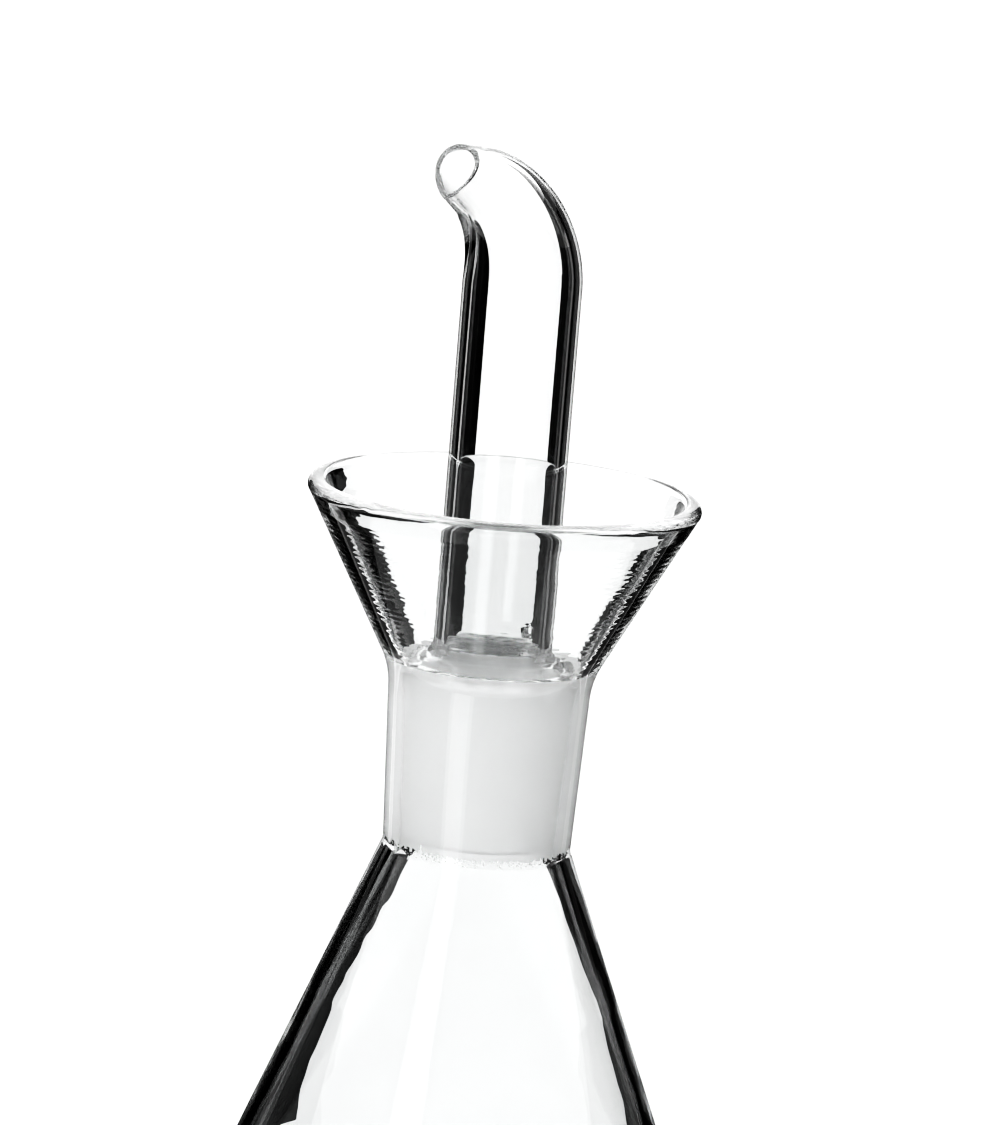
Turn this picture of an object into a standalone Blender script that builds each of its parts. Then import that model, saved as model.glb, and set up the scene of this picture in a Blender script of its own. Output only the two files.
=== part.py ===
"""A clear glass oil bottle with a drip-catching funnel on its neck, and a ground stopper that carries a bent spout.

Metres, +Z up. The base stands on z = 0 with its centre at the origin, and the spout pours towards +X.
The bottle and the stopper are both turned about the Z axis. Each glass wall is one outline that level
cuts divide into the lengths a glassblower fuses together, with a narrow gap left at each cut.
"""

import math

import bmesh
import bpy
from mathutils import Matrix, Vector

MM = 0.001

# Bottle
BASE_RADIUS = 43.0 * MM
HEEL_ROUND = 9.0 * MM
FLOOR_THICKNESS = 2.6 * MM
BODY_WALL = 1.55 * MM
THINNED_HEIGHT = 64.0 * MM
THINNED_ROUND = 40.0 * MM
NECK_LOW_HEIGHT = 86.3 * MM
NECK_LOW_RADIUS = 13.2 * MM
NECK_LOW_ROUND = 3.0 * MM
NECK_TOP_HEIGHT = 111.1 * MM
NECK_TOP_RADIUS = 14.25 * MM
NECK_TOP_ROUND = 12.0 * MM
RIM_HEIGHT = 137.2 * MM
RIM_RADIUS = 27.5 * MM
RIM_ROUND = 1.2 * MM
RIM_EDGE_ROUND = 0.85 * MM
RIM_WIDTH = 3.1 * MM
BEAD_DEPTH = 3.4 * MM
BEAD_ROUND = 4.0 * MM
FUNNEL_WALL = 2.3 * MM
THROAT_ROUND = 3.0 * MM

# Ground joint: the standard 1 in 10 taper, so the radius grows by a twentieth of the length
TAPER = 0.05
SOCKET_TOP_RADIUS = 12.1 * MM
JOINT_GAP = 0.2 * MM

# Stopper
CONE_LOW_HEIGHT = 87.6 * MM
CONE_WALL = 1.7 * MM
CONE_EDGE_ROUND = 0.7 * MM
SHOULDER_HEIGHT = 113.1 * MM
SHOULDER_ROUND = 1.2 * MM
FOOT_HEIGHT = 114.4 * MM
FOOT_ROUND = 2.2 * MM
TUBE_RADIUS = 8.27 * MM
TUBE_WALL = 1.6 * MM
RETURN_HOLE_RADIUS = 1.1 * MM
RETURN_HOLE_HEIGHT = 117.0 * MM

# Spout
BEND_START_HEIGHT = 165.7 * MM
BEND_RADIUS = 15.2 * MM
BEND_ANGLE = math.radians(69)
TIP_LENGTH = 4.6 * MM
TIP_RADIUS = 3.9 * MM
TAPER_POWER = 1.5

# Level cuts between the fused lengths. A point of an outline nearer to a cut than CUT_CLEAR is left out.
CUT_GAP = 0.3 * MM
CUT_CLEAR = 0.1 * MM
SPOUT_CUT_HEIGHT = 121.0 * MM

BOTTLE_STEPS = 64
STOPPER_STEPS = 48
DRILL_SIDES = 16
ARC_STEPS = 5
BEND_STEPS = 12
SPOUT_SIDES = 40

GLASS_IOR = 1.47
CLEAR = (0.93, 0.95, 0.94)
GROUND = (0.86, 0.87, 0.87)


def clear_scene():
    for obj in list(bpy.data.objects):
        bpy.data.objects.remove(obj, do_unlink=True)


def new_collection(name):
    collection = bpy.data.collections.new(name)
    bpy.context.scene.collection.children.link(collection)
    return collection


def glass(name, colour, roughness):
    material = bpy.data.materials.new(name)
    material.use_nodes = True
    shader = material.node_tree.nodes["Principled BSDF"]
    shader.inputs["Base Color"].default_value = (*colour, 1.0)
    shader.inputs["Roughness"].default_value = roughness
    shader.inputs["Metallic"].default_value = 0.0
    shader.inputs["IOR"].default_value = GLASS_IOR
    shader.inputs["Transmission Weight"].default_value = 1.0
    return material


def rounded(corners):
    """The outline through (radius, height, round) corners, with an arc in place of each rounded corner."""
    points = []
    for index, (x, z, round_radius) in enumerate(corners):
        here = Vector((x, z))
        if not round_radius:
            points.append(here)
            continue
        back = (Vector(corners[index - 1][:2]) - here).normalized()
        ahead = (Vector(corners[index + 1][:2]) - here).normalized()
        half_angle = back.angle(ahead) / 2
        middle = here + (back + ahead).normalized() * (round_radius / math.sin(half_angle))
        reach = round_radius / math.tan(half_angle)
        start = here + back * reach - middle
        turn = start.angle_signed(here + ahead * reach - middle)
        for step in range(ARC_STEPS + 1):
            arm = start.copy()
            arm.rotate(Matrix.Rotation(-turn * step / ARC_STEPS, 2))
            points.append(middle + arm)
    return points


def between(points, low, high):
    """The stretch of a rising outline that lies between two level cuts."""
    kept = []
    for first, second in zip(points, points[1:] + [points[-1]]):
        if low + CUT_CLEAR < first.y < high - CUT_CLEAR:
            kept.append(first)
        for height in (low, high):
            if first.y < height < second.y:
                share = (height - first.y) / (second.y - first.y)
                kept.append(first.lerp(second, share))
    return kept


def turned(name, profile, steps, closed, material, collection):
    """A body of revolution about Z. The profile is at +X and runs down its outer side."""
    mesh = bpy.data.meshes.new(name)
    edges = [(i, i + 1) for i in range(len(profile) - 1)]
    if closed:
        edges.append((len(profile) - 1, 0))
    mesh.from_pydata([(point.x, 0.0, point.y) for point in profile], edges, [])
    obj = bpy.data.objects.new(name, mesh)
    collection.objects.link(obj)
    screw = obj.modifiers.new("turn", "SCREW")
    screw.axis = "Z"
    screw.angle = math.tau
    screw.steps = steps
    screw.render_steps = steps
    screw.use_merge_vertices = True
    screw.merge_threshold = 0.00001
    screw.use_smooth_shade = True
    mesh.materials.append(material)
    return obj


def wall(name, outer, inner, low, high, steps, material, collection):
    """The length of a turned glass wall between two heights."""
    profile = list(reversed(between(outer, low, high))) + between(inner, low, high)
    return turned(name, profile, steps, True, material, collection)


def socket_radius(height):
    return SOCKET_TOP_RADIUS - TAPER * (NECK_TOP_HEIGHT - height)


def bottle_outlines():
    """The outside and the inside of the bottle, both from the bottom up, ending on the rim's flat top."""
    funnel_slope = (RIM_RADIUS - NECK_TOP_RADIUS) / (RIM_HEIGHT - RIM_ROUND - NECK_TOP_HEIGHT)
    funnel_inset = FUNNEL_WALL * math.hypot(1, funnel_slope)
    throat_height = NECK_TOP_HEIGHT + (SOCKET_TOP_RADIUS + funnel_inset - NECK_TOP_RADIUS) / funnel_slope
    rim_corner = RIM_RADIUS + funnel_slope * RIM_ROUND
    rim_middle = (rim_corner - RIM_WIDTH / 2, RIM_HEIGHT, 0.0)
    bead_radius = rim_corner - funnel_slope * BEAD_DEPTH - funnel_inset

    heel = Vector((BASE_RADIUS - HEEL_ROUND - NECK_LOW_RADIUS, NECK_LOW_HEIGHT - HEEL_ROUND))
    body_slope = math.tan(math.atan2(heel.x, heel.y) + math.asin(HEEL_ROUND / heel.length))
    body_inset = BODY_WALL * math.hypot(1, body_slope)
    heel_corner = NECK_LOW_RADIUS + body_slope * NECK_LOW_HEIGHT
    outer = rounded(
        [
            (0.0, 0.0, 0.0),
            (heel_corner, 0.0, HEEL_ROUND),
            (NECK_LOW_RADIUS, NECK_LOW_HEIGHT, NECK_LOW_ROUND),
            (NECK_TOP_RADIUS, NECK_TOP_HEIGHT, NECK_TOP_ROUND),
            (rim_corner, RIM_HEIGHT, RIM_EDGE_ROUND),
            rim_middle,
        ]
    )
    inner = rounded(
        [
            (0.0, FLOOR_THICKNESS, 0.0),
            (heel_corner - body_inset - body_slope * FLOOR_THICKNESS, FLOOR_THICKNESS, HEEL_ROUND - BODY_WALL),
            (heel_corner - body_inset - body_slope * THINNED_HEIGHT, THINNED_HEIGHT, THINNED_ROUND),
            (socket_radius(NECK_LOW_HEIGHT), NECK_LOW_HEIGHT, NECK_LOW_ROUND),
            (SOCKET_TOP_RADIUS, throat_height, THROAT_ROUND),
            (bead_radius, RIM_HEIGHT - BEAD_DEPTH, BEAD_ROUND),
            (rim_corner - RIM_WIDTH, RIM_HEIGHT, RIM_EDGE_ROUND),
            rim_middle,
        ]
    )
    return outer[:-1], inner[:-1]


def stopper_outlines():
    """The outside and the inside of the stopper's turned part, both from the cone's flat lower end up."""
    low_radius = socket_radius(CONE_LOW_HEIGHT) - JOINT_GAP
    low_middle = (low_radius - CONE_WALL / 2, CONE_LOW_HEIGHT, 0.0)
    shoulder_radius = socket_radius(SHOULDER_HEIGHT) - JOINT_GAP
    bore_top = socket_radius(NECK_TOP_HEIGHT) - JOINT_GAP - CONE_WALL
    tube_bore = TUBE_RADIUS - TUBE_WALL
    outer = rounded(
        [
            low_middle,
            (low_radius, CONE_LOW_HEIGHT, CONE_EDGE_ROUND),
            (shoulder_radius, SHOULDER_HEIGHT, SHOULDER_ROUND),
            (TUBE_RADIUS, FOOT_HEIGHT, FOOT_ROUND),
            (TUBE_RADIUS, BEND_START_HEIGHT, 0.0),
        ]
    )
    inner = rounded(
        [
            low_middle,
            (low_radius - CONE_WALL, CONE_LOW_HEIGHT, CONE_EDGE_ROUND),
            (bore_top, NECK_TOP_HEIGHT, SHOULDER_ROUND),
            (tube_bore, FOOT_HEIGHT - TUBE_WALL, FOOT_ROUND),
            (tube_bore, BEND_START_HEIGHT, 0.0),
        ]
    )
    return outer[1:], inner[1:]


def spout_route():
    """(x, z, radius) along the spout's centre line, from the level cut to the mouth."""
    route = [
        (0.0, SPOUT_CUT_HEIGHT + CUT_GAP / 2, TUBE_RADIUS),
        (0.0, BEND_START_HEIGHT - TUBE_RADIUS, TUBE_RADIUS),
    ]
    bend_length = BEND_RADIUS * BEND_ANGLE
    whole = bend_length + TIP_LENGTH
    for step in range(BEND_STEPS + 1):
        angle = BEND_ANGLE * step / BEND_STEPS
        share = bend_length * step / BEND_STEPS / whole
        route.append(
            (
                BEND_RADIUS * (1 - math.cos(angle)),
                BEND_START_HEIGHT + BEND_RADIUS * math.sin(angle),
                TUBE_RADIUS + (TIP_RADIUS - TUBE_RADIUS) * share**TAPER_POWER,
            )
        )
    last_x, last_z, _ = route[-1]
    route.append(
        (
            last_x + TIP_LENGTH * math.sin(BEND_ANGLE),
            last_z + TIP_LENGTH * math.cos(BEND_ANGLE),
            TIP_RADIUS,
        )
    )
    return route


def spout(name, material, collection):
    """The bent tube, drawn down to its mouth: an open curve skin, thickened inwards in proportion to its radius."""
    curve = bpy.data.curves.new(name, "CURVE")
    curve.dimensions = "3D"
    curve.bevel_depth = 1.0
    curve.bevel_resolution = SPOUT_SIDES // 2 - 2
    route = spout_route()
    spline = curve.splines.new("POLY")
    spline.points.add(len(route) - 1)
    for point, (x, z, radius) in zip(spline.points, route):
        point.co = (x, 0.0, z, 1.0)
        point.radius = radius
    guide = bpy.data.objects.new(name + "_guide", curve)
    collection.objects.link(guide)
    bpy.context.view_layer.update()
    evaluated = guide.evaluated_get(bpy.context.evaluated_depsgraph_get())
    mesh = bpy.data.meshes.new_from_object(evaluated)
    bpy.data.objects.remove(guide, do_unlink=True)
    skin = bmesh.new()
    skin.from_mesh(mesh)
    bmesh.ops.recalc_face_normals(skin, faces=skin.faces)
    for face in skin.faces:
        face.smooth = True
    skin.to_mesh(mesh)
    skin.free()
    mesh.name = name
    mesh.materials.clear()
    mesh.materials.append(material)
    obj = bpy.data.objects.new(name, mesh)
    collection.objects.link(obj)
    drawn = obj.vertex_groups.new(name="drawn")
    sides = len(mesh.vertices) // len(route)
    for index, (_, _, radius) in enumerate(route):
        ring = list(range(index * sides, (index + 1) * sides))
        drawn.add(ring, radius / TUBE_RADIUS, "REPLACE")
    shell = obj.modifiers.new("wall", "SOLIDIFY")
    shell.thickness = TUBE_WALL
    shell.offset = -1.0
    shell.vertex_group = drawn.name
    return obj


def bore_return_hole(obj, cutters):
    """The small hole through the back of the tube's foot, which lets caught drops and air back in."""
    bpy.ops.mesh.primitive_cylinder_add(
        vertices=DRILL_SIDES,
        radius=RETURN_HOLE_RADIUS,
        depth=TUBE_RADIUS,
        location=(-TUBE_RADIUS, 0.0, RETURN_HOLE_HEIGHT),
        rotation=(0.0, math.radians(90), 0.0),
    )
    drill = bpy.context.object
    drill.name = "return_hole_drill"
    for collection in list(drill.users_collection):
        collection.objects.unlink(drill)
    cutters.objects.link(drill)
    drill.hide_render = True
    drill.display_type = "WIRE"
    cut = obj.modifiers.new("return_hole", "BOOLEAN")
    cut.operation = "DIFFERENCE"
    cut.solver = "EXACT"
    cut.object = drill


def main():
    clear_scene()
    parts = new_collection("glass_oil_bottle")
    cutters = new_collection("cutters")
    half_gap = CUT_GAP / 2
    outer, inner = bottle_outlines()
    body = between(inner, -math.inf, NECK_LOW_HEIGHT - half_gap)
    body += list(reversed(between(outer, -math.inf, NECK_LOW_HEIGHT - half_gap)))
    turned("flask_body", body, BOTTLE_STEPS, False, glass("body_glass", CLEAR, 0.0), parts)
    wall(
        "neck_socket", outer, inner, NECK_LOW_HEIGHT + half_gap, NECK_TOP_HEIGHT - half_gap,
        BOTTLE_STEPS, glass("socket_glass", GROUND, 0.5), parts,
    )
    wall(
        "drip_funnel", outer, inner, NECK_TOP_HEIGHT + half_gap, math.inf,
        BOTTLE_STEPS, glass("funnel_glass", CLEAR, 0.02), parts,
    )
    outer, inner = stopper_outlines()
    wall(
        "stopper_cone", outer, inner, -math.inf, NECK_TOP_HEIGHT - half_gap,
        STOPPER_STEPS, glass("cone_glass", GROUND, 0.5), parts,
    )
    shoulder = wall(
        "stopper_shoulder", outer, inner, NECK_TOP_HEIGHT + half_gap, SPOUT_CUT_HEIGHT - half_gap,
        STOPPER_STEPS, glass("shoulder_glass", CLEAR, 0.0), parts,
    )
    bore_return_hole(shoulder, cutters)
    spout("pour_spout", glass("spout_glass", CLEAR, 0.0), parts)


main()
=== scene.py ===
"""Looks of the glass oil bottle: the bottle and its stopper, each as one wall of hand-worked glass.

Metres, +Z up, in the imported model's frame. Each piece is a loft of rings that runs up the outside of the glass
and down its inside, so every wall has its own thickness and light bends through it. Small waves, tool marks and
drawn streaks are in the mesh, and the ground faces have their own material. The glass's dark edges come from the
studio's cards, which only some light sees.
"""

import math

import bpy
from mathutils import Matrix, Vector, noise

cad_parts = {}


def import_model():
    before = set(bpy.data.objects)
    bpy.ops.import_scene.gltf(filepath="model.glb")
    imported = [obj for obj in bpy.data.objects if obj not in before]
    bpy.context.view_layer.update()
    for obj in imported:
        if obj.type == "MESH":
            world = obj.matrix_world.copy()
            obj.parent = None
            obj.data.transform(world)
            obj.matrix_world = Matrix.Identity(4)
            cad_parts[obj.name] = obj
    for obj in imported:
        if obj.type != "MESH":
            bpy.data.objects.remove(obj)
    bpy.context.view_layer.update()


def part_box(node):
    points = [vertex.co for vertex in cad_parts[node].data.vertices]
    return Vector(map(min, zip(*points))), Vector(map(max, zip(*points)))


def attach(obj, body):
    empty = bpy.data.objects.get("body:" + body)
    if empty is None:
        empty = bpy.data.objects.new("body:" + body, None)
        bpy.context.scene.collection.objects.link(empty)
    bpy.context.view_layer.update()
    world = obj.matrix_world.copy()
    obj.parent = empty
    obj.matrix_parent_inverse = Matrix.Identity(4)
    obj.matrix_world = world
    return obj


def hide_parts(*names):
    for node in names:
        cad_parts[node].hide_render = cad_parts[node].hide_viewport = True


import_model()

MM = 0.001
CUT_GAP = 0.3 * MM

# Bottle: heights and widest radii come from the frame, the rest are the design's own sizes
BASE_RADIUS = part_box("flask_body")[1].x
NECK_LOW_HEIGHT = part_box("flask_body")[1].z + CUT_GAP / 2
NECK_TOP_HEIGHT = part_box("neck_socket")[1].z + CUT_GAP / 2
RIM_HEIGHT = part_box("drip_funnel")[1].z
HEEL_ROUND = 9.0 * MM
FLOOR_THICKNESS = 2.6 * MM
BODY_WALL = 1.55 * MM
THINNED_HEIGHT = 64.0 * MM
THINNED_ROUND = 40.0 * MM
NECK_LOW_RADIUS = 13.2 * MM
NECK_LOW_ROUND = 3.0 * MM
NECK_TOP_RADIUS = 14.25 * MM
NECK_TOP_ROUND = 12.0 * MM
RIM_RADIUS = 27.5 * MM
RIM_ROUND = 1.2 * MM
RIM_EDGE_ROUND = 1.2 * MM
RIM_WIDTH = 3.1 * MM
BEAD_DEPTH = 3.4 * MM
BEAD_ROUND = 4.0 * MM
FUNNEL_WALL = 2.3 * MM
THROAT_ROUND = 3.0 * MM

# Ground joint
TAPER = 0.05
SOCKET_TOP_RADIUS = 12.1 * MM
JOINT_GAP = 0.2 * MM

# Stopper
CONE_LOW_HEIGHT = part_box("stopper_cone")[0].z
CONE_WALL = 1.7 * MM
CONE_EDGE_ROUND = 0.7 * MM
SHOULDER_HEIGHT = 113.1 * MM
SHOULDER_ROUND = 1.2 * MM
FOOT_HEIGHT = 114.4 * MM
FOOT_ROUND = 2.2 * MM
TUBE_RADIUS = 8.27 * MM
TUBE_WALL = 1.6 * MM
RETURN_HOLE_RADIUS = 1.1 * MM
RETURN_HOLE_HEIGHT = 117.0 * MM

# Spout
BEND_START_HEIGHT = 165.7 * MM
BEND_RADIUS = 15.2 * MM
BEND_ANGLE = math.radians(69)
TIP_LENGTH = 4.6 * MM
TIP_RADIUS = 3.9 * MM
TAPER_POWER = 1.5
BEAK_LENGTH = 9.0 * MM
BEAK_PINCH = 0.85
BEAK_BULGE = 1.3
BEAK_POWER = 0.7

# Mesh
ARC_STEPS = 14
ROW_SPACING = 0.8 * MM
FINE_SPACING = 0.14 * MM
SHORTEST_STEP = 0.02 * MM
FINE_NEAR_EDGE = 1.8 * MM
FINE_NEAR_MARK = 0.5 * MM
LIP_DEPTH = 1.2 * MM
BOTTLE_SEGMENTS = 256
STOPPER_SEGMENTS = 128
DRILL_SIDES = 32

# Studio
CAMERA_AZIMUTH = 138.0
CAMERA_ELEVATION = 11.26
CAMERA_ROLL = 4.70
CAMERA_DISTANCE = 0.7
CAMERA_LENS = 161.57
SENSOR_WIDTH = 36.0
TARGET_HEIGHT = 126.62 * MM
TARGET_RIGHT = 0.05 * MM
WORLD_STRENGTH = 1.3
BOUNCES = 64  # with 16, light trapped in the rim turns it black
FLOOR_SIZE = 30.0
FLOOR_ALBEDO = 0.92

# Cards round the bottle. A window is (azimuth, degrees before it, degrees after it), where the cards leave a gap
RIGHT_WINDOW = (180.0, 4.5, 4.5)
LEFT_WINDOW = (276.0, 2.5, 2.5)
BACK_WINDOW = (228.0, 12.2, 8.4)
BACK_WALL_WINDOW = (228.0, 13.0, 20.0)
FIRST_WINDOWS = ((90.0, 9.0, 9.0), (135.0, 9.0, 9.0), RIGHT_WINDOW)
LAST_WINDOWS = (LEFT_WINDOW, (315.0, 9.0, 9.0))
WINDOWS = FIRST_WINDOWS + (BACK_WINDOW,) + LAST_WINDOWS
WALL_WINDOWS = FIRST_WINDOWS + (BACK_WALL_WINDOW,) + LAST_WINDOWS
NARROW_RIGHT_WINDOW = (180.0, 2.5, 2.5)
MIRROR_WINDOWS = (NARROW_RIGHT_WINDOW, BACK_WINDOW, LEFT_WINDOW)
MIRROR_WALL_WINDOWS = (NARROW_RIGHT_WINDOW, BACK_WALL_WINDOW, LEFT_WINDOW)
BEND_SECTOR = (165.0, 214.0)
BEND_LOW = 0.15
BEND_HIGH = 0.47
WALL_FOOT = 0.04
WINDOW_FOOT = 15 * MM
FLAG_NEAR = 0.15
FLAG_FAR = 1.0
FLAG_RINGS = 6
SKY_SLOPE = 0.27
FLAG_LIFT = 0.0004
COVER_LIFT = 2 * FLAG_LIFT
STREAK_LIFT = 3 * FLAG_LIFT
DIM_LIFT = 4 * FLAG_LIFT
COVER_FAR = 1.1
APRON_WINDOWS = ((135.0, 35.0, 35.0), (315.0, 35.0, 35.0))
APRON_NEAR = 0.05
APRON_FAR = 0.12
APRON_STRENGTH = 0.3
DIM_WINDOWS = ((175.5, 184.5, 0.3), (273.0, 279.0, 0.6))
DIM_FAR = 0.95
FLOOR_DROP = 0.0004
CARD_STEPS = 16
STREAK_AZIMUTH = 18.0
STREAK_FAR = 0.9
STREAK_TOP = 0.8
STREAK_BANDS = ((-13.5, -9.5, 1.2), (-9.5, 9.5, 2.4), (9.5, 13.5, 1.2))
COLLAR_RADIUS = 0.045
COLLAR_LOW = 0.075
COLLAR_HIGH = 0.128
COLLAR_BANDS = ((80.0, 190.0, 1.7), (190.0, 440.0, 2.6))
CORE_RADIUS = 0.0035
CORE_LOW = 0.088
CORE_HIGH = 0.112
CORE_STRENGTH = 1.6
TONE_CURVE = ((0.05, 0.006), (0.2, 0.055), (0.42, 0.30), (0.6, 0.55), (0.8, 0.8))


# ---------------------------------------------------------------- outlines


def rounded(corners):
    """The outline through (radius, height, round) corners, with an arc in place of each rounded corner."""
    points = []
    for index, (x, z, round_radius) in enumerate(corners):
        here = Vector((x, z))
        if not round_radius:
            points.append(here)
            continue
        back = (Vector(corners[index - 1][:2]) - here).normalized()
        ahead = (Vector(corners[index + 1][:2]) - here).normalized()
        half_angle = back.angle(ahead) / 2
        middle = here + (back + ahead).normalized() * (round_radius / math.sin(half_angle))
        reach = round_radius / math.tan(half_angle)
        start = here + back * reach - middle
        turn = start.angle_signed(here + ahead * reach - middle)
        for step in range(ARC_STEPS + 1):
            arm = start.copy()
            arm.rotate(Matrix.Rotation(-turn * step / ARC_STEPS, 2))
            points.append(middle + arm)
    return points


def divided(points, spacing_at):
    """The outline with its long stretches cut into steps no longer than spacing_at(point)."""
    fine = [points[0]]
    for first, second in zip(points, points[1:]):
        length = (second - first).length
        if length < SHORTEST_STEP:
            continue
        steps = max(1, math.ceil(length / spacing_at((first + second) / 2)))
        for step in range(1, steps + 1):
            fine.append(first.lerp(second, step / steps))
    return fine


def socket_radius(height):
    return SOCKET_TOP_RADIUS - TAPER * (NECK_TOP_HEIGHT - height)


def bottle_outlines():
    """The outside and the inside of the bottle, both from the bottom up, ending on the rim's flat top."""
    funnel_slope = (RIM_RADIUS - NECK_TOP_RADIUS) / (RIM_HEIGHT - RIM_ROUND - NECK_TOP_HEIGHT)
    funnel_inset = FUNNEL_WALL * math.hypot(1, funnel_slope)
    throat_height = NECK_TOP_HEIGHT + (SOCKET_TOP_RADIUS + funnel_inset - NECK_TOP_RADIUS) / funnel_slope
    rim_corner = RIM_RADIUS + funnel_slope * RIM_ROUND
    rim_middle = (rim_corner - RIM_WIDTH / 2, RIM_HEIGHT, 0.0)
    bead_radius = rim_corner - funnel_slope * BEAD_DEPTH - funnel_inset

    heel = Vector((BASE_RADIUS - HEEL_ROUND - NECK_LOW_RADIUS, NECK_LOW_HEIGHT - HEEL_ROUND))
    body_slope = math.tan(math.atan2(heel.x, heel.y) + math.asin(HEEL_ROUND / heel.length))
    body_inset = BODY_WALL * math.hypot(1, body_slope)
    heel_corner = NECK_LOW_RADIUS + body_slope * NECK_LOW_HEIGHT
    outer = rounded(
        [
            (0.0, 0.0, 0.0),
            (heel_corner, 0.0, HEEL_ROUND),
            (NECK_LOW_RADIUS, NECK_LOW_HEIGHT, NECK_LOW_ROUND),
            (NECK_TOP_RADIUS, NECK_TOP_HEIGHT, NECK_TOP_ROUND),
            (rim_corner, RIM_HEIGHT, RIM_EDGE_ROUND),
            rim_middle,
        ]
    )
    inner = rounded(
        [
            (0.0, FLOOR_THICKNESS, 0.0),
            (heel_corner - body_inset - body_slope * FLOOR_THICKNESS, FLOOR_THICKNESS, HEEL_ROUND - BODY_WALL),
            (heel_corner - body_inset - body_slope * THINNED_HEIGHT, THINNED_HEIGHT, THINNED_ROUND),
            (socket_radius(NECK_LOW_HEIGHT), NECK_LOW_HEIGHT, NECK_LOW_ROUND),
            (SOCKET_TOP_RADIUS, throat_height, THROAT_ROUND),
            (bead_radius, RIM_HEIGHT - BEAD_DEPTH, BEAD_ROUND),
            (rim_corner - RIM_WIDTH, RIM_HEIGHT, RIM_EDGE_ROUND),
            rim_middle,
        ]
    )
    return outer[:-1], inner[:-1]


def stopper_outlines():
    """The outside and the inside of the stopper's turned part, both from the cone's flat lower end up."""
    low_radius = socket_radius(CONE_LOW_HEIGHT) - JOINT_GAP
    low_middle = (low_radius - CONE_WALL / 2, CONE_LOW_HEIGHT, 0.0)
    shoulder_radius = socket_radius(SHOULDER_HEIGHT) - JOINT_GAP
    bore_top = socket_radius(NECK_TOP_HEIGHT) - JOINT_GAP - CONE_WALL
    tube_bore = TUBE_RADIUS - TUBE_WALL
    outer = rounded(
        [
            low_middle,
            (low_radius, CONE_LOW_HEIGHT, CONE_EDGE_ROUND),
            (shoulder_radius, SHOULDER_HEIGHT, SHOULDER_ROUND),
            (TUBE_RADIUS, FOOT_HEIGHT, FOOT_ROUND),
            (TUBE_RADIUS, BEND_START_HEIGHT, 0.0),
        ]
    )
    inner = rounded(
        [
            low_middle,
            (low_radius - CONE_WALL, CONE_LOW_HEIGHT, CONE_EDGE_ROUND),
            (bore_top, NECK_TOP_HEIGHT, SHOULDER_ROUND),
            (tube_bore, FOOT_HEIGHT - TUBE_WALL, FOOT_ROUND),
            (tube_bore, BEND_START_HEIGHT, 0.0),
        ]
    )
    return outer[1:], inner[1:]


# ---------------------------------------------------------------- rings


class Ring:
    """One ring of a loft: its centre's x and z, the lean of its axis towards +X, its radius and its pinch.

    out and up are the surface normal's share along the radius and along the axis. They say which way a
    ripple lifts the glass, and kind says which ripples the ring has.
    """

    def __init__(self, x, z, lean, radius, kind, pinch=0.0):
        self.x, self.z, self.lean, self.radius, self.kind, self.pinch = x, z, lean, radius, kind, pinch
        self.out, self.up = 1.0, 0.0

    def point(self, angle, lift=0.0):
        share = 1 - self.pinch + self.pinch * BEAK_BULGE * math.sin(angle / 2) ** BEAK_POWER
        along = (self.radius + self.out * lift) * math.cos(angle)
        across = (self.radius + self.out * lift) * math.sin(angle) * share
        rise = self.up * lift
        return (
            self.x + along * math.cos(self.lean) + rise * math.sin(self.lean),
            across,
            self.z - along * math.sin(self.lean) + rise * math.cos(self.lean),
        )


def set_normals(rings, closed):
    """Works out each ring's normal from its neighbours: the rings run up the outside, so it is on their right."""
    count = len(rings)
    for index, ring in enumerate(rings):
        before = rings[index - 1] if closed or index else ring
        after = rings[(index + 1) % count] if closed or index < count - 1 else ring
        run = Vector((after.radius - before.radius, 0.0))
        step = Vector((after.x - before.x, after.z - before.z))
        axis = Vector((math.sin(ring.lean), math.cos(ring.lean)))
        run.y = step.dot(axis)
        if run.length > 0:
            run.normalize()
            ring.out, ring.up = run.y, -run.x


def lofted(name, rings, segments, closed, lift_at, material_at, materials):
    """A mesh through the rings. Rings of no radius, at the ends of an open loft, are single points."""
    set_normals(rings, closed)
    points, rows = [], []
    for ring in rings:
        if ring.radius <= 0:
            rows.append([len(points)] * segments)
            points.append((ring.x, 0.0, ring.z))
            continue
        rows.append(list(range(len(points), len(points) + segments)))
        for step in range(segments):
            angle = math.tau * step / segments
            points.append(ring.point(angle, lift_at(ring, angle)))
    faces, slots = [], []
    pairs = list(zip(range(len(rings)), range(1, len(rings))))
    if closed:
        pairs.append((len(rings) - 1, 0))
    for low, high in pairs:
        for step in range(segments):
            ahead = (step + 1) % segments
            corners = [rows[low][step], rows[low][ahead], rows[high][ahead], rows[high][step]]
            faces.append(list(dict.fromkeys(corners)))
            slots.append(material_at(rings[low], rings[high], math.tau * (step + 0.5) / segments))
    mesh = bpy.data.meshes.new(name)
    mesh.from_pydata(points, [], faces)
    mesh.polygons.foreach_set("material_index", slots)
    mesh.polygons.foreach_set("use_smooth", [True] * len(faces))
    for material in materials:
        mesh.materials.append(material)
    mesh.update()
    obj = bpy.data.objects.new(name, mesh)
    bpy.context.scene.collection.objects.link(obj)
    return obj


# ---------------------------------------------------------------- the glassblower's marks

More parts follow.
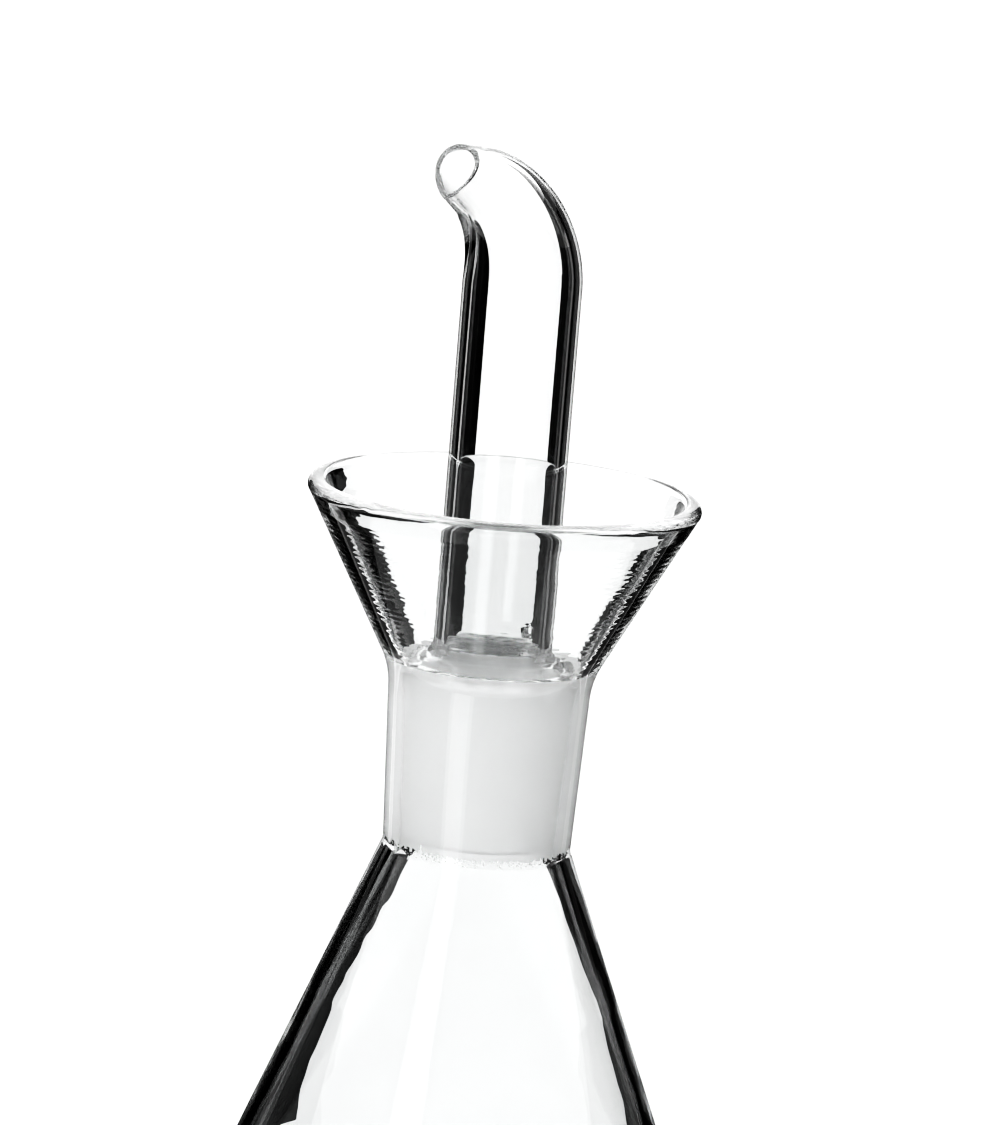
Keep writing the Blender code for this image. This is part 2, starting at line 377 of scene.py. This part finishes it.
# Depths, and the noise that places them as (cycles round the ring, length of one cycle along it, seed)
SKIN_SHARE = 0.4
SKIN_FADE = 20 * MM
SKIN_NOISE = (1.6, 14 * MM, 3.0)
BODY_WAVE = 0.030 * MM
BODY_NOISE = (2.2, 9 * MM, 11.0)
BODY_DIMPLE = 0.008 * MM
DIMPLE_NOISE = (8.0, 3 * MM, 17.0)
FUNNEL_WAVE = 0.030 * MM
FUNNEL_NOISE = (1.8, 3.2 * MM, 41.0)
RIPPLE_PITCH = 0.8 * MM
RIPPLE_DEPTH = 0.004 * MM
RIPPLE_PLACE_NOISE = (1.5, 5 * MM, 21.0)
RIPPLE_PLACE_SHIFT = 0.35
RIPPLE_DEPTH_NOISE = (2.0, 6 * MM, 31.0)
RIPPLE_DEPTH_SHARE = 0.6
TOOL_GRAIN = 0.008 * MM
GRAIN_NOISE = (16.0, 0.42 * MM, 61.0)
STREAK_DEPTH = 0.004 * MM
STREAK_NOISE = (5.0, 30 * MM, 51.0)

# Where the glass is ground, and the scratch that the grinding misses
GROUND_RISE = 2.2 * MM
GROUND_EDGE = 0.5 * MM
GROUND_RAGGED = 0.9 * MM
GROUND_SPECKS = 1.1 * MM
COARSE_EDGE = (12, 5.0, 0.7)
FINE_EDGE = (45, 8.0, 0.9)
SPECK_CYCLES = 50
SPECK_HEIGHT = 0.3 * MM
SPECK_LEVEL = 0.28
CONE_GROUND_START = 0.6 * CONE_EDGE_ROUND
CONE_GROUND_RISE = 0.3 * MM
MARK_HEIGHT = 105.0 * MM
MARK_THICKNESS = 0.22 * MM
MARK_AZIMUTH = math.radians(35)
MARK_HALF_ANGLE = math.radians(7)


def swirl(ring, angle, pattern):
    """Smooth noise on the surface, in the pattern given as (cycles round, length of a cycle, seed)."""
    around, along, seed = pattern
    place = Vector((math.cos(angle) * around, math.sin(angle) * around, ring.z / along + seed))
    return noise.noise(place)


def bottle_lift(ring, angle):
    if ring.kind == "outer":
        fade = min(1.0, max(0.0, (ring.z - HEEL_ROUND) / SKIN_FADE))
        return -SKIN_SHARE * BODY_WAVE * fade * (1 + swirl(ring, angle, SKIN_NOISE)) / 2
    if ring.kind == "inner":
        return BODY_WAVE * swirl(ring, angle, BODY_NOISE) + BODY_DIMPLE * swirl(ring, angle, DIMPLE_NOISE)
    if ring.kind == "funnel":
        phase = ring.z / RIPPLE_PITCH + RIPPLE_PLACE_SHIFT * swirl(ring, angle, RIPPLE_PLACE_NOISE)
        depth = RIPPLE_DEPTH_SHARE + RIPPLE_DEPTH_SHARE * swirl(ring, angle, RIPPLE_DEPTH_NOISE)
        ripple = RIPPLE_DEPTH * math.cos(math.tau * phase) * depth
        wave = FUNNEL_WAVE * swirl(ring, angle, FUNNEL_NOISE)
        return ripple + wave + TOOL_GRAIN * swirl(ring, angle, GRAIN_NOISE)
    return 0.0


def stopper_lift(ring, angle):
    if ring.kind == "tube":
        return STREAK_DEPTH * swirl(ring, angle, STREAK_NOISE)
    return 0.0


def bottle_slot(low, high, angle):
    """Slot 1, ground, on the inside of the neck: its lower edge is chipped and a scratch higher up is missed."""
    height = (low.z + high.z) / 2
    if low.kind not in ("inner", "socket") or height < NECK_LOW_HEIGHT - GROUND_SPECKS:
        return 0
    if abs(height - MARK_HEIGHT) < MARK_THICKNESS / 2 and abs(angle - MARK_AZIMUTH) < MARK_HALF_ANGLE:
        return 0
    east, north = math.cos(angle), math.sin(angle)
    chips = 0.0
    for cycles, seed, share in (COARSE_EDGE, FINE_EDGE):
        chips += share * noise.noise(Vector((east * cycles, north * cycles, seed)))
    edge = NECK_LOW_HEIGHT + GROUND_EDGE + GROUND_RAGGED * chips
    speck = noise.noise(Vector((east * SPECK_CYCLES, north * SPECK_CYCLES, height / SPECK_HEIGHT)))
    return int(height > edge or (height > edge - GROUND_SPECKS and speck > SPECK_LEVEL))


def stopper_slot(low, high, angle):
    return int(low.kind == "cone" and high.kind == "cone")


# ---------------------------------------------------------------- materials


GLASS_IOR = 1.47
BOTTLE_TINT = ((0.90, 0.905, 0.905), (0.92, 0.925, 0.925))
STOPPER_TINT = ((0.99, 0.995, 0.995), (1.0, 1.0, 1.0))
FROST_TINT = ((0.97, 0.975, 0.975), (1.0, 1.0, 1.0))
FROST_CLEARNESS = 0.5
FROST_ROUGHNESS = (0.38, 0.62)
RAMP_ENDS = (0.3, 0.7)


def node_material(name):
    material = bpy.data.materials.new(name)
    material.use_nodes = True
    return material, material.node_tree.nodes, material.node_tree.links


def bump_from(nodes, links, shader, height_socket, strength, distance):
    bump = nodes.new("ShaderNodeBump")
    bump.inputs["Strength"].default_value = strength
    bump.inputs["Distance"].default_value = distance
    links.new(height_socket, bump.inputs["Height"])
    links.new(bump.outputs["Normal"], shader.inputs["Normal"])


def noise_texture(nodes, links, scale, detail, stretch=(1.0, 1.0, 1.0)):
    """3-D noise in the object's own coordinates, in metres."""
    place = nodes.new("ShaderNodeTexCoord")
    mapping = nodes.new("ShaderNodeMapping")
    mapping.inputs["Scale"].default_value = stretch
    links.new(place.outputs["Object"], mapping.inputs["Vector"])
    texture = nodes.new("ShaderNodeTexNoise")
    texture.inputs["Scale"].default_value = scale
    texture.inputs["Detail"].default_value = detail
    links.new(mapping.outputs["Vector"], texture.inputs["Vector"])
    return texture


def tinted(nodes, links, shader, texture, tint):
    """Colours the shader from the darker to the lighter of two colours, as the texture rises."""
    ramp = nodes.new("ShaderNodeValToRGB")
    for element, position, color in zip(ramp.color_ramp.elements, RAMP_ENDS, tint):
        element.position = position
        element.color = (*color, 1.0)
    links.new(texture.outputs["Fac"], ramp.inputs["Fac"])
    links.new(ramp.outputs["Color"], shader.inputs["Base Color"])


def clear_glass(name, tint):
    """Fire-polished borosilicate: colourless, with faint cords left from working it."""
    material, nodes, links = node_material(name)
    shader = nodes["Principled BSDF"]
    shader.inputs["Transmission Weight"].default_value = 1.0
    shader.inputs["IOR"].default_value = GLASS_IOR
    shader.inputs["Roughness"].default_value = 0.0
    tinted(nodes, links, shader, noise_texture(nodes, links, 60.0, 2.0), tint)
    cords = noise_texture(nodes, links, 140.0, 1.0, (1.0, 1.0, 0.35))
    bump_from(nodes, links, shader, cords.outputs["Fac"], 0.25, 0.02 * MM)
    return material


def ground_glass():
    """Glass ground with fine grit: a white frost with grain and faint rings."""
    material, nodes, links = node_material("ground_joint")
    shader = nodes["Principled BSDF"]
    shader.inputs["Transmission Weight"].default_value = FROST_CLEARNESS
    shader.inputs["IOR"].default_value = GLASS_IOR
    grain = noise_texture(nodes, links, 2600.0, 3.0)
    tinted(nodes, links, shader, grain, FROST_TINT)
    rough = nodes.new("ShaderNodeMapRange")
    rough.inputs["To Min"].default_value, rough.inputs["To Max"].default_value = FROST_ROUGHNESS
    links.new(grain.outputs["Fac"], rough.inputs["Value"])
    links.new(rough.outputs["Result"], shader.inputs["Roughness"])
    rings = noise_texture(nodes, links, 900.0, 2.0, (0.05, 0.05, 1.0))
    bump_from(nodes, links, shader, rings.outputs["Fac"], 0.4, 0.03 * MM)
    return material


# ---------------------------------------------------------------- pieces


def outline_rings(points, kind_at):
    return [Ring(0.0, point.y, 0.0, point.x, kind_at(point)) for point in points]


def bottle_glass(clear, ground):
    """The whole bottle: up the outside from the middle of the base, over the rim and down to the floor."""
    outer, inner = bottle_outlines()

    def outer_kind(point):
        return "floor" if point.y < HEEL_ROUND / 2 else "outer"

    def inner_kind(point):
        if point.y < FLOOR_THICKNESS + HEEL_ROUND / 2:
            return "floor"
        if point.y < NECK_LOW_HEIGHT:
            return "inner"
        if point.y < NECK_TOP_HEIGHT + GROUND_RISE:
            return "socket"
        return "funnel" if point.y < RIM_HEIGHT - LIP_DEPTH else "lip"

    def inner_spacing(point):
        near_edge = abs(point.y - NECK_LOW_HEIGHT) < FINE_NEAR_EDGE
        near_mark = abs(point.y - MARK_HEIGHT) < FINE_NEAR_MARK
        fine = near_edge or near_mark or inner_kind(point) in ("funnel", "lip")
        return FINE_SPACING if fine else ROW_SPACING

    rings = outline_rings(divided(outer, lambda point: ROW_SPACING), outer_kind)
    inside = outline_rings(divided(inner, inner_spacing), inner_kind)
    rings += reversed(inside)
    return lofted(
        "bottle_glass", rings, BOTTLE_SEGMENTS, False, bottle_lift, bottle_slot, (clear, ground)
    )


def spout_rings(share_of_radius):
    """Rings from the start of the bend to the lip: share_of_radius is 1 on the outer skin, less on the inner."""
    bend_length = BEND_RADIUS * BEND_ANGLE
    whole = bend_length + TIP_LENGTH
    stop = whole - TUBE_WALL / TUBE_RADIUS * TIP_RADIUS / 2
    steps = math.ceil(stop / ROW_SPACING)
    rings = []
    for step in range(1, steps + 1):
        reach = stop * step / steps
        bent = min(reach, bend_length)
        angle = bent / BEND_RADIUS
        straight = reach - bent
        share = min(1.0, reach / bend_length) * bend_length / whole
        radius = TUBE_RADIUS + (TIP_RADIUS - TUBE_RADIUS) * share**TAPER_POWER
        if straight:
            end = TUBE_RADIUS + (TIP_RADIUS - TUBE_RADIUS) * (bend_length / whole) ** TAPER_POWER
            radius = end + (TIP_RADIUS - end) * straight / TIP_LENGTH
        beak = max(0.0, (reach - (whole - BEAK_LENGTH)) / BEAK_LENGTH)
        rings.append(
            Ring(
                BEND_RADIUS * (1 - math.cos(angle)) + straight * math.sin(angle),
                BEND_START_HEIGHT + BEND_RADIUS * math.sin(angle) + straight * math.cos(angle),
                angle,
                radius * share_of_radius,
                "spout",
                BEAK_PINCH * beak**2,
            )
        )
    return rings


def lip_rings(start):
    """The fire-polished lip: a half circle from the outer skin to the inner one."""
    rings = []
    half = start.radius * TUBE_WALL / TUBE_RADIUS / 2
    for step in range(1, ARC_STEPS):
        turn = math.pi * step / ARC_STEPS
        rise = half * math.sin(turn)
        rings.append(
            Ring(
                start.x + rise * math.sin(start.lean),
                start.z + rise * math.cos(start.lean),
                start.lean,
                start.radius - half + half * math.cos(turn),
                "spout",
                start.pinch,
            )
        )
    return rings


def stopper_glass(clear, ground):
    """The whole stopper: up the outside of cone, shoulder, tube and spout, round the lip and down the inside."""
    outer, inner = stopper_outlines()

    def outer_kind(point):
        if CONE_LOW_HEIGHT + CONE_GROUND_START < point.y < NECK_TOP_HEIGHT + CONE_GROUND_RISE:
            return "cone"
        return "tube" if point.y > FOOT_HEIGHT + 2 * FOOT_ROUND else "foot"

    def inner_kind(point):
        return "tube" if point.y > FOOT_HEIGHT + 2 * FOOT_ROUND else "bore"

    rings = outline_rings(divided(outer, lambda point: ROW_SPACING), outer_kind)
    outside = spout_rings(1.0)
    rings += outside
    rings += lip_rings(outside[-1])
    rings += reversed(spout_rings(1 - TUBE_WALL / TUBE_RADIUS))
    rings += reversed(outline_rings(divided(inner, lambda point: ROW_SPACING), inner_kind))
    piece = lofted(
        "stopper_glass", rings, STOPPER_SEGMENTS, True, stopper_lift, stopper_slot, (clear, ground)
    )
    bore_return_hole(piece)
    return piece


def bore_return_hole(piece):
    """The small hole through the back of the tube's foot."""
    bpy.ops.mesh.primitive_cylinder_add(
        vertices=DRILL_SIDES,
        radius=RETURN_HOLE_RADIUS,
        depth=TUBE_RADIUS,
        location=(-TUBE_RADIUS, 0.0, RETURN_HOLE_HEIGHT),
        rotation=(0.0, math.radians(90), 0.0),
    )
    drill = bpy.context.object
    for polygon in drill.data.polygons:
        polygon.use_smooth = True
    cut = piece.modifiers.new("return_hole", "BOOLEAN")
    cut.operation = "DIFFERENCE"
    cut.solver = "EXACT"
    cut.object = drill
    bpy.context.view_layer.update()
    evaluated = piece.evaluated_get(bpy.context.evaluated_depsgraph_get())
    mesh = bpy.data.meshes.new_from_object(evaluated)
    piece.modifiers.clear()
    piece.data = mesh
    bpy.data.objects.remove(drill, do_unlink=True)


# ---------------------------------------------------------------- studio


def mesh_object(name, points, faces, material):
    mesh = bpy.data.meshes.new(name)
    mesh.from_pydata(points, [], faces)
    mesh.materials.append(material)
    obj = bpy.data.objects.new(name, mesh)
    bpy.context.scene.collection.objects.link(obj)
    return obj


def floor():
    material, nodes, links = node_material("studio_floor")
    shader = nodes["Principled BSDF"]
    shader.inputs["Roughness"].default_value = 1.0
    shader.inputs["Specular IOR Level"].default_value = 0.0
    shader.inputs["Base Color"].default_value = (FLOOR_ALBEDO, FLOOR_ALBEDO, FLOOR_ALBEDO, 1.0)
    half = FLOOR_SIZE / 2
    points = [(x, y, -FLOOR_DROP) for x, y in ((-half, -half), (half, -half), (half, half), (-half, half))]
    mesh_object("studio_floor", points, [(0, 1, 2, 3)], material)


def card_material(name, strength, seen_by):
    """A card of that brightness, seen only by some light while the rest passes through it.

    "specular" light has met nothing matt, "mirrored" light has also been mirrored by glass, and "scattered"
    light has met a frost or another matt face.
    """
    material, nodes, links = node_material(name)
    material.cycles.emission_sampling = "NONE"
    nodes.clear()
    path = nodes.new("ShaderNodeLightPath")
    clear = nodes.new("ShaderNodeBsdfTransparent")
    face = nodes.new("ShaderNodeEmission")
    face.inputs["Strength"].default_value = strength
    mix = nodes.new("ShaderNodeMixShader")
    scattered = nodes.new("ShaderNodeMath")
    scattered.operation = "GREATER_THAN" if seen_by == "scattered" else "LESS_THAN"
    scattered.inputs[1].default_value = 0.5
    mirrored = nodes.new("ShaderNodeMath")
    mirrored.operation = "GREATER_THAN"
    mirrored.inputs[1].default_value = 0.5 if seen_by == "mirrored" else -0.5
    both = nodes.new("ShaderNodeMath")
    both.operation = "MULTIPLY"
    out = nodes.new("ShaderNodeOutputMaterial")
    links.new(path.outputs["Diffuse Depth"], scattered.inputs[0])
    links.new(path.outputs["Glossy Depth"], mirrored.inputs[0])
    links.new(scattered.outputs[0], both.inputs[0])
    links.new(mirrored.outputs[0], both.inputs[1])
    links.new(both.outputs[0], mix.inputs["Fac"])
    links.new(clear.outputs[0], mix.inputs[1])
    links.new(face.outputs[0], mix.inputs[2])
    links.new(mix.outputs[0], out.inputs["Surface"])
    return material


def card(name, sectors_at, levels, material):
    """A card for some light only: for each (radius, height) level, sectors_at gives its (start, end) azimuths."""
    points, faces = [], []
    for sector in range(len(sectors_at(levels[-1][0]))):
        for index, (radius, height) in enumerate(levels):
            start, end = sectors_at(radius)[sector]
            for step in range(CARD_STEPS + 1):
                angle = start + (end - start) * step / CARD_STEPS
                points.append((radius * math.cos(angle), radius * math.sin(angle), height))
                if index and step:
                    here = len(points) - 1
                    below = here - CARD_STEPS - 1
                    faces.append((below - 1, below, here, here - 1))
    obj = mesh_object(name, points, faces, material)
    obj.visible_camera = False
    obj.visible_shadow = False


def between_windows(windows):
    """For a card at a radius, the (start, end) azimuths between windows. Near the bottle they are a little wider."""

    def sectors_at(radius):
        foot = math.asin(WINDOW_FOOT / radius)
        sectors = []
        for first, second in zip(windows, windows[1:] + windows[:1]):
            turn = math.tau if second is windows[0] else 0.0
            start = math.radians(first[0] + first[2]) + foot
            end = math.radians(second[0] - second[1]) + turn - foot
            sectors.append((start, end))
        return sectors

    return sectors_at


def sector_between(start, end):
    """One sector of a card, from one azimuth to another in degrees."""
    return lambda radius: [(math.radians(start), math.radians(end))]


def full_circle(radius):
    """Two half circles, for a card without gaps."""
    return [(0.0, math.pi), (math.pi, math.tau)]


def cards():
    """Black cards draw the glass's dark edges, grey ones soften them, and bright ones light its streak and frost.

    They are placed for the main camera. The collar and the core stand inside the object's own space, where a
    real lamp couldn't, and light only the frost.
    """
    radii = [FLAG_NEAR * (FLAG_FAR / FLAG_NEAR) ** (ring / FLAG_RINGS) for ring in range(FLAG_RINGS + 1)]
    black_flag = card_material("black_flag", 0.0, "specular")
    flag_levels = [(radius, FLAG_LIFT) for radius in radii] + [(FLAG_FAR, WALL_FOOT)]
    card("black_flags", between_windows(WINDOWS), flag_levels, black_flag)
    wall_levels = [(FLAG_FAR, WALL_FOOT), (FLAG_FAR, FLAG_FAR * SKY_SLOPE)]
    card("black_walls", between_windows(WALL_WINDOWS), wall_levels, black_flag)

    black_cover = card_material("black_cover", 0.0, "mirrored")
    cover_levels = [(radius, COVER_LIFT) for radius in radii[:-1]]
    cover_levels += [(COVER_FAR, COVER_LIFT), (COVER_FAR, WALL_FOOT)]
    card("black_covers", between_windows(MIRROR_WINDOWS), cover_levels, black_cover)
    wall_levels = [(COVER_FAR, WALL_FOOT), (COVER_FAR, COVER_FAR * SKY_SLOPE)]
    card("black_cover_walls", between_windows(MIRROR_WALL_WINDOWS), wall_levels, black_cover)
    apron_levels = [(APRON_NEAR, FLAG_LIFT), (APRON_FAR, FLAG_LIFT)]
    grey_apron = card_material("apron", APRON_STRENGTH, "specular")
    card("grey_apron", between_windows(APRON_WINDOWS), apron_levels, grey_apron)
    bend_levels = [(FLAG_FAR, BEND_LOW), (FLAG_FAR, BEND_HIGH)]
    card("black_bend", sector_between(*BEND_SECTOR), bend_levels, black_flag)

    floor_levels = [(radius, DIM_LIFT) for radius in radii[:-1]] + [(DIM_FAR, DIM_LIFT)]
    wall_levels = [(DIM_FAR, DIM_LIFT), (DIM_FAR, DIM_FAR * SKY_SLOPE)]
    for index, (start, end, strength) in enumerate(DIM_WINDOWS):
        dim_floor = card_material(f"dim_floor_{index}", strength, "specular")
        dim_wall = card_material(f"dim_wall_{index}", strength, "mirrored")
        card(f"dim_floor_{index}", sector_between(start, end), floor_levels, dim_floor)
        card(f"dim_wall_{index}", sector_between(start, end), wall_levels, dim_wall)

    streak_levels = [(FLAG_NEAR, STREAK_LIFT), (STREAK_FAR, STREAK_LIFT), (STREAK_FAR, STREAK_TOP)]
    for index, (start, end, strength) in enumerate(STREAK_BANDS):
        name = f"bright_strip_{index}"
        sector = sector_between(STREAK_AZIMUTH + start, STREAK_AZIMUTH + end)
        card(name, sector, streak_levels, card_material(name, strength, "mirrored"))

    collar_levels = [(COLLAR_RADIUS, COLLAR_LOW), (COLLAR_RADIUS, COLLAR_HIGH)]
    for index, (start, end, strength) in enumerate(COLLAR_BANDS):
        name = f"glow_collar_{index}"
        card(name, sector_between(start, end), collar_levels, card_material(name, strength, "scattered"))
    core_levels = [(CORE_RADIUS, CORE_LOW), (CORE_RADIUS, CORE_HIGH)]
    card("glow_core", full_circle, core_levels, card_material("glow_core", CORE_STRENGTH, "scattered"))


def world():
    made = bpy.data.worlds.new("studio")
    bpy.context.scene.world = made
    made.use_nodes = True
    background = made.node_tree.nodes["Background"]
    background.inputs["Color"].default_value = (1.0, 1.0, 1.0, 1.0)
    background.inputs["Strength"].default_value = WORLD_STRENGTH


def camera():
    """The camera looks down at the bottle from its +X, +Y side, rolled a little."""
    azimuth, elevation, roll = (math.radians(v) for v in (CAMERA_AZIMUTH, CAMERA_ELEVATION, CAMERA_ROLL))
    back = Vector(
        (
            math.sin(azimuth) * math.cos(elevation),
            -math.cos(azimuth) * math.cos(elevation),
            math.sin(elevation),
        )
    )
    right = Vector((0, 0, 1)).cross(back).normalized()
    up = back.cross(right)
    rolled_right = right * math.cos(roll) + up * math.sin(roll)
    rolled_up = up * math.cos(roll) - right * math.sin(roll)
    target = right * TARGET_RIGHT + Vector((0, 0, TARGET_HEIGHT))
    data = bpy.data.cameras.new("camera")
    data.lens = CAMERA_LENS
    data.sensor_width = SENSOR_WIDTH
    data.sensor_fit = "AUTO"
    data.clip_start = 0.05
    data.clip_end = 100.0
    obj = bpy.data.objects.new("camera", data)
    bpy.context.scene.collection.objects.link(obj)
    turn = Matrix((rolled_right, rolled_up, back)).transposed()
    obj.matrix_world = Matrix.Translation(target + back * CAMERA_DISTANCE) @ turn.to_4x4()
    bpy.context.scene.camera = obj


def tone_curve(settings):
    """The contrast of a product photograph: deep darks, with the light tones left alone."""
    settings.use_curve_mapping = True
    curve = settings.curve_mapping.curves[3]
    for level, shown in TONE_CURVE:
        curve.points.new(level, shown)
    for point in curve.points:
        point.handle_type = "AUTO_CLAMPED"
    settings.curve_mapping.update()


def main():
    scene = bpy.context.scene
    scene.view_settings.view_transform = "Standard"
    tone_curve(scene.view_settings)
    scene.cycles.max_bounces = BOUNCES
    scene.cycles.transmission_bounces = BOUNCES
    scene.cycles.glossy_bounces = BOUNCES
    ground = ground_glass()
    bottle_clear = clear_glass("clear_borosilicate", BOTTLE_TINT)
    stopper_clear = clear_glass("drawn_borosilicate", STOPPER_TINT)
    bottle = bottle_glass(bottle_clear, ground)
    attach(bottle, "bottle")
    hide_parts("flask_body", "neck_socket", "drip_funnel")
    stopper = stopper_glass(stopper_clear, ground)
    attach(stopper, "pour_head")
    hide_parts("stopper_cone", "stopper_shoulder", "pour_spout")
    world()
    floor()
    cards()
    camera()


main()
